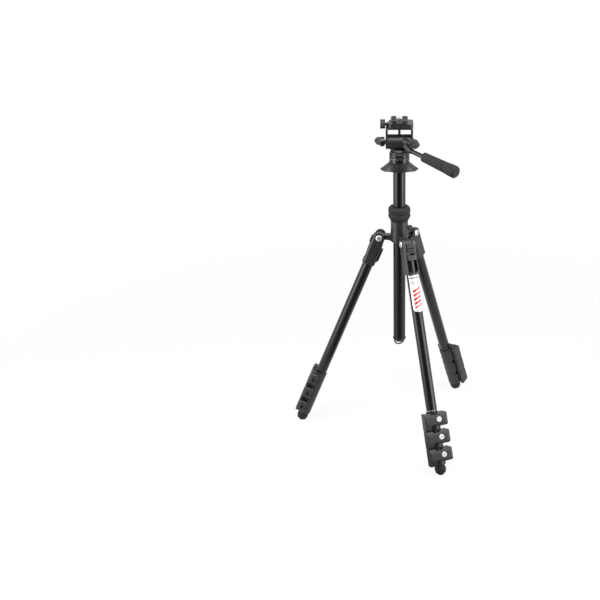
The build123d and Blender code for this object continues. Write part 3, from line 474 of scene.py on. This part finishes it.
def turned(radius, height, sides, axes, origin):
    """Closed turned solid: a profile carried round, from the middle of its foot to the middle of its top.

    Fans close the first and the last ring at their centres, at the mean heights of the two rings.
    """
    rings = len(height)
    ends = [(0.0, 0.0, np.mean(height[ring])) for ring in (0, -1)]
    points = place(origin, axes, np.concatenate([carried_round(radius, height, sides), ends]))
    here = np.arange(sides)
    there = np.roll(here, -1)
    last_ring, foot_middle = (rings - 1) * sides, rings * sides
    foot = np.stack([there, here, np.full(sides, foot_middle)], -1)
    top = np.stack([last_ring + here, last_ring + there, np.full(sides, foot_middle + 1)], -1)
    return points, [grid_faces(rings, sides), foot, top]


def hoop(radius, height, sides, axes, origin):
    """Closed hoop: a closed profile carried round, from its inner foot outwards, up and back inwards."""
    points = place(origin, axes, carried_round(radius, height, sides))
    return points, [grid_faces(len(height), sides, close_rows=True)]


def hex_socket(half_key, sides):
    """Radius of a six-sided socket: half the key size over the cosine of the angle from a flat's middle."""
    return half_key / np.cos(around(sides) % (np.pi / 3) - np.pi / 6)


def bars(centres, halves):
    """Closed bars with drawn-in tops: eight corners each, at a centre plus or minus three half-axes."""
    drawn_in = 0.75
    corner_ways = ((-1, -1), (1, -1), (1, 1), (-1, 1))
    signs = np.array([(x, y, z) for z in (-1, 1) for x, y in corner_ways], float)
    signs[len(corner_ways):, :2] *= drawn_in
    corners = centres[:, None] + np.einsum("ci,nij->ncj", signs, halves)
    quads = np.array([(3, 2, 1, 0), (4, 5, 6, 7), (0, 1, 5, 4), (1, 2, 6, 5), (2, 3, 7, 6), (3, 0, 4, 7)])
    faces = quads + len(signs) * np.arange(len(corners))[:, None, None]
    return corners.reshape(-1, 3), [faces.reshape(-1, 4)]


def wrapped(radius, turn, depth, thickness):
    """Closed foil wrapped round a tube: a grid of turns and depths, with an outer and an inner skin.

    turn and depth are grids of the same shape; a point is radius * (cos turn, sin turn) across the tube
    and depth along it. The border of the two skins is joined by a strip.
    """
    rows, columns = turn.shape
    skins = [np.stack([r * np.cos(turn), r * np.sin(turn), depth], -1) for r in (radius + thickness, radius)]
    index = np.arange(rows * columns).reshape(rows, columns)
    outer = np.stack([index[:-1, :-1], index[1:, :-1], index[1:, 1:], index[:-1, 1:]], -1).reshape(-1, 4)
    inner = outer[:, ::-1] + rows * columns
    border = np.concatenate([index[0, :-1], index[:-1, -1], index[-1, :0:-1], index[:0:-1, 0]])
    following = np.roll(border, -1)
    strip = np.stack([border, following, following + rows * columns, border + rows * columns], -1)
    return np.concatenate([skin.reshape(-1, 3) for skin in skins]), [outer, inner, strip]


def printed_marks(angle, radius, level, half_width, half_height, proud):
    """Marks printed round the column: flat bars at radius * (cos a, sin a) and a level, facing outwards."""
    flat = np.zeros_like(angle)
    out = np.stack([np.cos(angle), np.sin(angle), flat], -1)
    side = np.stack([-np.sin(angle), np.cos(angle), flat], -1)
    up = UP * np.broadcast_to(half_height, angle.shape)[:, None]
    return bars(out * radius + UP * level, np.stack([side * half_width, up, out * proud], 1))


class TRIPOD_OT_leg_finish(Operator):
    """Finish the tubes, castings, locks and feet of the legs"""
    bl_idname = "tripod.leg_finish"
    bl_label = "Leg finishes"

    def execute(self, context):
        colours = context.scene.tripod_colours
        tube, coat = anodised_aluminium(colours), powder_coat(colours)
        plastic, rubber = moulded_plastic(colours), moulded_rubber(colours)
        for leg in LEGS:
            finish_nodes(tube, *(f"{leg}_leg_tube_{number}" for number in SECTIONS))
            finish_nodes(plastic, *(f"{leg}_lock_collar_{number}" for number in LOCKS))
            finish_nodes(plastic, *(f"{leg}_lock_lever_{number}" for number in LOCKS), f"{leg}_angle_stop")
            finish_nodes(coat, f"{leg}_leg_casting")
            finish_nodes(rubber, f"{leg}_foot")
        finish_nodes(plated_steel(colours), "leg_pivot_bolts")
        return {"FINISHED"}


class TRIPOD_OT_column_finish(Operator):
    """Finish the spider, the column and the pieces on it"""
    bl_idname = "tripod.column_finish"
    bl_label = "Column finishes"

    def execute(self, context):
        colours = context.scene.tripod_colours
        finish_nodes(powder_coat(colours), "spider", "column_top_plate")
        finish_nodes(anodised_aluminium(colours), "center_column", "pan_base")
        finish_nodes(moulded_plastic(colours), "spider_lock_screw", "column_end_cap")
        finish_nodes(moulded_rubber(colours), "column_lock_collar")
        finish_nodes(black_oxide_steel(colours), "weight_hook")
        return {"FINISHED"}


class TRIPOD_OT_head_finish(Operator):
    """Finish the pieces of the pan head and its handle"""
    bl_idname = "tripod.head_finish"
    bl_label = "Head finishes"

    def execute(self, context):
        colours = context.scene.tripod_colours
        finish_nodes(powder_coat(colours), "pan_turret", "tilt_cradle", "quick_release_clamp")
        finish_nodes(
            moulded_plastic(colours), "tilt_lock_knob", "pan_lock_knob", "clamp_knob", "quick_release_plate")
        finish_nodes(moulded_rubber(colours), "handle_grip", "handle_end_cap")
        finish_nodes(anodised_aluminium(colours), "handle_rod")
        finish_nodes(black_oxide_steel(colours), "tilt_shaft")
        finish_nodes(plated_steel(colours), "camera_screw")
        return {"FINISHED"}


class TRIPOD_OT_pivot_bolts(Operator):
    """Pivot bolts of the legs with domed heads and key sockets"""
    bl_idname = "tripod.pivot_bolts"
    bl_label = "Pivot bolts"

    def execute(self, context):
        sizes = context.scene.tripod_sizes
        steel = plated_steel(context.scene.tripod_colours)
        sides, dome_steps = 48, 9
        shank, rim, socket_depth = MM * np.array((3.0, 0.5, 1.4))
        head, tall, full = sizes.bolt_radius, sizes.bolt_height, np.ones(sides)
        # The dome rises over the rim as the root of 1 - (radius / head)^2, and ends at the key socket.
        socket = hex_socket(sizes.bolt_socket, sides)
        across = np.linspace(socket, head * full, dome_steps)
        dome = rim + (tall - rim) * np.sqrt(np.clip(1 - (across / head) ** 2, 0, 1))
        socket_floor = (dome[0].max() - socket_depth) * full
        radius = np.stack([SOCKET_MIDDLE * socket, socket, *across, head * full, shank * full])
        height = np.stack([socket_floor, socket_floor, *dome, 0 * full, 0 * full]) + sizes.bolt_reach
        # Both ends of a bolt have such a head.
        radius, height = np.concatenate([radius, radius[::-1]]), np.concatenate([-height, height[::-1]])
        bolts = []
        for leg in LEGS:
            pivot, out, side, _ = leg_axes(leg)
            bolts.append(turned(radius, height, sides, (out, np.cross(side, out), side), pivot))
        add_piece(
            "leg_pivot_bolts_domed", *joined(bolts), steel, "spider", "bright_steel", "leg_pivot_bolts")
        return {"FINISHED"}


class TRIPOD_OT_lever_screws(Operator):
    """Socket screws in the recesses of the lock levers"""
    bl_idname = "tripod.lever_screws"
    bl_label = "Lever screws"

    def execute(self, context):
        sizes = context.scene.tripod_sizes
        steel = plated_steel(context.scene.tripod_colours)
        recess = MM * np.array((12.7, -12.5, -3.8))    # from a lever's hinge: outwards, sideways and down
        sides, bevel, socket_depth = 48, 0.5 * MM, 0.9 * MM
        rim, top, full = sizes.screw_radius, sizes.screw_height, np.ones(sides)
        socket = hex_socket(sizes.screw_socket, sides)
        radius = np.stack(
            [rim * full, rim * full, (rim - bevel) * full, socket, socket, SOCKET_MIDDLE * socket])
        socket_floor = top - socket_depth
        height = np.array((0.0, top - bevel, top, top, socket_floor, socket_floor))[:, None] * full
        for leg in LEGS:
            _, out, side, along = leg_axes(leg)
            for number in LOCKS:
                hinge = JOINTS[f"{leg}_lever_{number}_open"]["pos_m"]
                seat = place(hinge, (out, side, along), recess)
                points, faces = turned(radius, height, sides, (side, -along, out), seat)
                add_piece(
                    f"{leg}_lever_screw_{number}", points, faces, steel, f"{leg}_lever_{number}",
                    "bright_steel")
        return {"FINISHED"}


class TRIPOD_OT_stop_springs(Operator):
    """Leaf springs behind the angle stops"""
    bl_idname = "tripod.stop_springs"
    bl_label = "Stop springs"

    def execute(self, context):
        steel = black_oxide_steel(context.scene.tripod_colours)
        middle_out, middle_down = 3.0 * MM, 18.6 * MM    # from the leg's pivot
        half_width, half_length, half_thickness = MM * np.array((7.0, 5.2, 0.4))
        for leg in LEGS:
            pivot, out, side, along = leg_axes(leg)
            middle = pivot + middle_out * out + middle_down * along
            halves = np.stack([side * half_width, along * half_length, -out * half_thickness])
            points, faces = bars(middle[None], halves[None])
            add_piece(f"{leg}_stop_spring", points, faces, steel, f"{leg}_leg", "dark_steel")
        return {"FINISHED"}


class TRIPOD_OT_leg_label(Operator):
    """Printed foil label on the top tube of the front leg"""
    bl_idname = "tripod.leg_label"
    bl_label = "Leg label"

    def execute(self, context):
        sizes = context.scene.tripod_sizes
        foil = label_foil(context.scene.tripod_colours)
        rows, columns, lift = 61, 49, 0.03 * MM
        round_share, end_width = 0.12, 0.35
        # The width is full down to the rounded share, and from there falls along a quarter of an ellipse.
        v, u = np.meshgrid(np.linspace(0, 1, rows), np.linspace(0, 1, columns), indexing="ij")
        end = np.clip((v - 1 + round_share) / round_share, 0, 1)
        width = end_width + (1 - end_width) * np.sqrt(1 - end ** 2)
        across = (u - 0.5) * width
        turn = sizes.label_turn + sizes.label_spread * across
        depth = sizes.label_start + sizes.label_length * v
        local, faces = wrapped(sizes.tube_radius + lift, turn, depth, sizes.foil)
        pivot, *axes = leg_axes("front")
        uv = np.tile(np.stack([0.5 + across, v], -1).reshape(-1, 2), (2, 1))
        add_piece(
            "front_leg_label", place(pivot, axes, local), faces, foil, "front_leg", "bright_steel", uv=uv)
        return {"FINISHED"}


class TRIPOD_OT_index_ring(Operator):
    """Dashed printed ring on the front leg's tube, just above its first lock"""
    bl_idname = "tripod.index_ring"
    bl_label = "Index ring"

    def execute(self, context):
        sizes = context.scene.tripod_sizes
        ink = printed_white(context.scene.tripod_colours)
        dash_share, columns, lift = 0.6, 6, 0.02 * MM
        lock_half = 17.8 * MM    # from the lever's hinge up to the top of the lock
        pivot, *axes = leg_axes("front")
        hinge = np.array(JOINTS["front_lever_1_open"]["pos_m"])
        low = (hinge - pivot) @ axes[2] - lock_half - sizes.ring_above
        dashes = []
        for start in around(sizes.ring_dashes):
            arc = start + dash_share * 2 * np.pi / sizes.ring_dashes * np.linspace(0, 1, columns)
            depth, turn = np.meshgrid([low - sizes.ring_width, low], arc, indexing="ij")
            local, faces = wrapped(sizes.tube_radius + lift, turn, depth, sizes.foil / 2)
            dashes.append((place(pivot, axes, local), faces))
        add_piece("front_index_ring", *joined(dashes), ink, "front_leg", "bright_steel")
        return {"FINISHED"}


class TRIPOD_OT_twist_collar(Operator):
    """Ribbed rubber collar that locks the column"""
    bl_idname = "tripod.twist_collar"
    bl_label = "Twist collar"

    def execute(self, context):
        sizes = context.scene.tripod_sizes
        rubber = moulded_rubber(context.scene.tripod_colours)
        low, high = node_box("column_lock_collar")
        radius, tall = (high[0] - low[0]) / 2, high[2] - low[2]
        foot, groove, bore, lid_bore, lid = MM * np.array((18.2, 1.6, 16.7, 13.1, 3.2))
        edge, foot_edge, neck_flare, neck_tall = MM * np.array((0.6, 0.4, 0.3, 3.6))
        lower, split, upper = tall / 4, tall / 2, tall - neck_tall
        bulge_steps, rib_steps, roundness, fade = 9, 6, 0.4, 0.7
        # Two bands bulge as a power of the sine of the way up them, and their ribs fade out in the same way.
        swell = np.sin(np.linspace(0, np.pi, bulge_steps))
        bulge = radius - groove / 2 * (1 - swell ** roundness)
        lower_band, upper_band = (
            np.stack([bulge, np.linspace(start, stop, bulge_steps), swell ** fade], -1)
            for start, stop in ((lower, split - groove), (split + groove, upper)))
        # Columns: radius, height and share of the rib depth.
        profile = np.concatenate([
            [(bore, 0, 0), (foot - edge, 0, 0), (foot, foot_edge, 0)],
            lower_band, [(radius - groove, split, 0)], upper_band,
            [(foot + neck_flare, tall - edge, 0), (foot - edge, tall, 0), (lid_bore, tall, 0),
             (lid_bore, tall - lid, 0), (bore, tall - lid, 0)]])
        across, height, ribbed = profile.T[:, :, None]
        sides = sizes.collar_ribs * rib_steps
        dip = sizes.collar_rib * (0.5 - 0.5 * np.cos(sizes.collar_ribs * around(sides))) ** 2
        points, faces = hoop(across - ribbed * dip, height, sides, UPRIGHT, UP * low[2])
        add_piece(
            "twist_collar_ribbed", points, faces, rubber, "column_lock", "black_rubber", "column_lock_collar")
        return {"FINISHED"}


class TRIPOD_OT_camera_screw(Operator):
    """Camera screw with its thread and a coin slot"""
    bl_idname = "tripod.camera_screw"
    bl_label = "Camera screw"

    def execute(self, context):
        sizes = context.scene.tripod_sizes
        steel = plated_steel(context.scene.tripod_colours)
        low, high = node_box("camera_screw")
        tall, middle = high[2] - low[2], (low + high) / 2
        head, head_tall, shank, slot_half = MM * np.array((5.5, 2.4, 2.6, 0.6))
        thread, exposed, chamfer, groove, tip = MM * np.array((3.175, 5.0, 0.8, 0.6, 1.2))
        sides, thread_steps, steepness, crest = 64, 72, 1.3, 0.15
        head_rings = np.array((0.1, 0.5, 0.9, 1.0))
        angle, full = around(sides), np.ones(sides)
        # The thread is a triangle wave of the height in pitches less the share of a turn, with its crests
        # and roots cut flat, and the tip's chamfer takes off what lies outside it.
        rise = np.linspace(tall - exposed, tall, thread_steps)[:, None]
        phase = (rise / sizes.thread_pitch - angle / (2 * np.pi)) % 1
        cut = groove * np.clip(steepness * np.abs(2 * phase - 1) - crest, 0, 1)
        threaded = np.minimum(thread - cut, thread - chamfer + tall - rise)
        # The slot runs across the underside of the head, half as deep as the head, and stops at its rim.
        underside = head * head_rings[:, None] * full
        slotted = np.where(np.abs(underside * np.sin(angle)) < slot_half, head_tall / 2, 0.0)
        slotted[-1] = 0.0
        body_radius = np.array((head, shank, shank))[:, None] * full
        body_height = np.array((head_tall, head_tall, tall - exposed))[:, None] * full
        radius = np.concatenate([underside, body_radius, threaded, [tip * full]])
        height = np.concatenate([slotted, body_height, rise * full, [tall * full]])
        points, faces = turned(radius, height, sides, UPRIGHT, (middle[0], middle[1], low[2]))
        add_piece("camera_screw_threaded", points, faces, steel, "screw", "bright_steel", "camera_screw")
        return {"FINISHED"}


class TRIPOD_OT_pan_scale(Operator):
    """Printed ticks round the pan drum, and the index mark of the turret"""
    bl_idname = "tripod.pan_scale"
    bl_label = "Pan scale"

    def execute(self, context):
        sizes = context.scene.tripod_sizes
        ink = printed_white(context.scene.tripod_colours)
        tick_up, tick_half, long_half, short_half = MM * np.array((8.4, 0.22, 1.5, 0.9))
        mark_radius, mark_up, mark_half = MM * np.array((18.5, 1.0, 0.7))
        long_every, mark_turn = 3, math.radians(-150.0)
        low, high = node_box("pan_base")
        drum_radius = (high[0] - low[0]) / 2
        half_height = np.where(np.arange(sizes.scale_ticks) % long_every == 0, long_half, short_half)
        points, faces = printed_marks(
            around(sizes.scale_ticks), drum_radius, low[2] + tick_up, tick_half, half_height, sizes.foil)
        add_piece("pan_scale_ticks", points, faces, ink, "column", "bright_steel")
        turret_low, _ = node_box("pan_turret")
        points, faces = printed_marks(
            np.array([mark_turn]), mark_radius, turret_low[2] + mark_up, mark_half, mark_half, sizes.foil)
        add_piece("pan_index_mark", points, faces, ink, "pan", "bright_steel")
        return {"FINISHED"}


class TRIPOD_OT_tilt_washers(Operator):
    """Black friction washers between the tilt drum's halves and the pillar"""
    bl_idname = "tripod.tilt_washers"
    bl_label = "Tilt washers"

    def execute(self, context):
        sizes = context.scene.tripod_sizes
        plastic = moulded_plastic(context.scene.tripod_colours)
        joint, sides = JOINTS["tilt_turn"], 72
        axis = unit(joint["axis"])
        axes = (np.cross(UP, axis), UP, axis)
        inner, outer, half = sizes.washer_bore, sizes.washer_radius, sizes.washer_thickness / 2
        radius = np.array((inner, outer, outer, inner))[:, None]
        height = np.array((-half, -half, half, half))[:, None]
        washers = [
            hoop(radius, height + shift, sides, axes, joint["pos_m"])
            for shift in (-sizes.washer_shift, sizes.washer_shift)]
        add_piece("tilt_washers", *joined(washers), plastic, "pan", "charcoal_plastic")
        return {"FINISHED"}


class TRIPOD_OT_knob_ribs(Operator):
    """Ribs on both faces of the wing knobs"""
    bl_idname = "tripod.knob_ribs"
    bl_label = "Knob ribs"

    def execute(self, context):
        sizes = context.scene.tripod_sizes
        plastic = moulded_plastic(context.scene.tripod_colours)
        wing_sizes = {"tilt_lock": (22.0, 18.0), "pan_lock": (17.0, 15.0)}    # length and width in mm
        thickness, hub_reach, end_margin, edge_margin = MM * np.array((5.5, 4.2, 2.0, 1.2))
        for knob, wing_size in wing_sizes.items():
            length, width = MM * np.array(wing_size)
            joint = JOINTS[f"{knob}_turn"]
            out = unit(joint["axis"])
            side = np.cross(UP, out)
            # A wing is full for two thirds of its length, and from there narrows to a quarter of its width.
            reach = np.arange(length / 4, length - end_margin, sizes.rib_pitch)
            full_share = np.clip(3 * (length - reach) / length, 0, 1)
            half_tall = width / 8 + (width / 2 - width / 8) * full_share - edge_margin
            way = np.repeat((1.0, -1.0), len(reach))[:, None]
            reach, half_tall = (np.tile(value, 2)[:, None] for value in (reach, half_tall))
            face = way * side
            centres = np.array(joint["pos_m"]) + (hub_reach + reach) * out + face * thickness / 2
            halves = np.stack([-way * out * sizes.rib_pitch / 4, UP * half_tall, face * sizes.rib_height], 1)
            points, faces = bars(centres, halves)
            add_piece(f"{knob}_knob_ribs", points, faces, plastic, knob, "charcoal_plastic")
        return {"FINISHED"}


class TRIPOD_OT_plate_pads(Operator):
    """Ribbed rubber pads on the quick-release plate"""
    bl_idname = "tripod.plate_pads"
    bl_label = "Plate pads"

    def execute(self, context):
        rubber = moulded_rubber(context.scene.tripod_colours)
        across = unit(JOINTS["tilt_turn"]["axis"])
        away = unit(JOINTS["plate_slide"]["axis"])
        _, top = node_box("quick_release_plate")
        inner, outer, half_depth, pitch, proud = MM * np.array((5.9, 15.0, 15.0, 1.6, 0.25))
        rib_share = 0.76
        rows = np.arange(-half_depth + pitch / 2, half_depth, pitch)
        way = np.repeat((1.0, -1.0), len(rows))[:, None]
        shift = np.tile(rows, 2)[:, None]
        centres = way * across * (inner + outer) / 2 + shift * away + UP * top[2]
        half_axes = np.stack([across * (outer - inner) / 2, away * pitch * rib_share / 2, UP * proud])
        points, faces = bars(centres, np.broadcast_to(half_axes, (len(centres), 3, 3)))
        add_piece("plate_pad_ribs", points, faces, rubber, "plate", "black_rubber")
        return {"FINISHED"}


class TRIPOD_OT_stage(Operator):
    """Floor, camera, lamps and white surroundings"""
    bl_idname = "tripod.stage"
    bl_label = "Studio"

    def execute(self, context):
        scene, studio = context.scene, context.scene.tripod_studio
        scene.view_settings.view_transform = "Standard"
        self.lay_floor(scene, studio)
        self.set_camera(scene, studio)
        self.light_world(scene, studio)
        # Azimuth in degrees, distance, height, width and length in metres, and power.
        lamps = {
            "right_strip": (-48.0, 0.9, 0.7, (0.6, 1.4), studio.strip_power),
            "left_strip": (182.0, 0.9, 0.7, (0.6, 1.4), studio.strip_power),
            "overhead": (-100.0, 0.5, 1.9, (1.2, 1.2), studio.top_power),
        }
        for name, lamp in lamps.items():
            self.add_lamp(scene, name, *lamp)
        return {"FINISHED"}

    def lay_floor(self, scene, studio):
        """Round floor of white paper, wide enough to fill the view."""
        reach, steps = 14.0, 64
        angle = around(steps)
        rim = reach * np.stack([np.cos(angle), np.sin(angle), 0 * angle], -1)
        mesh = bpy.data.meshes.new("studio_floor")
        mesh.from_pydata(rim.tolist(), [], [list(range(steps))])
        mesh.materials.append(floor_paper(studio.front))
        floor = bpy.data.objects.new("studio_floor", mesh)
        scene.collection.objects.link(floor)

    def set_camera(self, scene, studio):
        """Camera at the photograph's place."""
        lens = bpy.data.cameras.new("camera")
        lens.lens = studio.lens
        lens.shift_x, lens.shift_y = studio.shift_x, studio.shift_y
        camera = bpy.data.objects.new("camera", lens)
        camera.location = studio.camera_place
        camera.rotation_euler = (studio.camera_pitch, 0, studio.camera_turn)
        scene.collection.objects.link(camera)
        scene.camera = camera

    def light_world(self, scene, studio):
        """White seen straight on or in a reflection, a plain soft light otherwise."""
        world = bpy.data.worlds.new("studio_white")
        world.use_nodes = True
        tree = world.node_tree
        tree.nodes.clear()
        direction = add_node(tree, "ShaderNodeTexCoord").outputs["Generated"]
        white, seen = studio_white(tree, direction, studio.front)
        unseen = add_node(tree, "ShaderNodeMath", {0: 1.0, 1: seen}, operation="SUBTRACT")
        strength = add_node(
            tree, "ShaderNodeMath", {0: unseen.outputs[0], 1: studio.ambient, 2: white},
            operation="MULTIPLY_ADD")
        glow = add_node(tree, "ShaderNodeBackground", {"Color": WHITE, "Strength": strength.outputs[0]})
        add_node(tree, "ShaderNodeOutputWorld", {"Surface": glow.outputs[0]})
        scene.world = world

    def add_lamp(self, scene, name, azimuth, distance, tall, size, power):
        """Soft rectangular lamp on an azimuth, aimed at the middle of the tripod."""
        data = bpy.data.lights.new(name, "AREA")
        data.shape = "RECTANGLE"
        data.size, data.size_y = size
        data.energy = power
        lamp = bpy.data.objects.new(name, data)
        way = math.radians(azimuth)
        spot = np.array((distance * math.cos(way), distance * math.sin(way), tall))
        middle = np.array((0.0, 0.0, 0.35))
        aim = unit(spot - middle)
        side = unit(np.cross(UP, aim))
        turn = np.eye(4)
        turn[:3] = np.stack([side, np.cross(aim, side), aim, spot], 1)
        lamp.matrix_world = Matrix(turn.tolist())
        lamp.visible_camera = False
        scene.collection.objects.link(lamp)


OPERATORS = (
    TRIPOD_OT_leg_finish,
    TRIPOD_OT_column_finish,
    TRIPOD_OT_head_finish,
    TRIPOD_OT_pivot_bolts,
    TRIPOD_OT_lever_screws,
    TRIPOD_OT_stop_springs,
    TRIPOD_OT_leg_label,
    TRIPOD_OT_index_ring,
    TRIPOD_OT_twist_collar,
    TRIPOD_OT_camera_screw,
    TRIPOD_OT_pan_scale,
    TRIPOD_OT_tilt_washers,
    TRIPOD_OT_knob_ribs,
    TRIPOD_OT_plate_pads,
    TRIPOD_OT_stage,
)


class TRIPOD_PT_panel(Panel):
    """Lists the steps that finish the tripod"""
    bl_idname = "TRIPOD_PT_panel"
    bl_label = "Tripod"
    bl_space_type = "VIEW_3D"
    bl_region_type = "UI"
    bl_category = "Tripod"

    def draw(self, context):
        for operator in OPERATORS:
            self.layout.operator(operator.bl_idname)


GROUPS = {"tripod_sizes": TripodSizes, "tripod_colours": TripodColours, "tripod_studio": TripodStudio}
CLASSES = (*GROUPS.values(), *OPERATORS, TRIPOD_PT_panel)


def register():
    """Register the classes and the groups of sizes, colours and studio values."""
    for cls in CLASSES:
        bpy.utils.register_class(cls)
    for name, group in GROUPS.items():
        setattr(bpy.types.Scene, name, PointerProperty(type=group))


def unregister():
    """Undo register."""
    for name in GROUPS:
        delattr(bpy.types.Scene, name)
    for cls in reversed(CLASSES):
        bpy.utils.unregister_class(cls)


def main():
    """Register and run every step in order."""
    register()
    for operator in OPERATORS:
        area, step = operator.bl_idname.split(".")
        getattr(getattr(bpy.ops, area), step)()


if __name__ == "__main__":
    main()
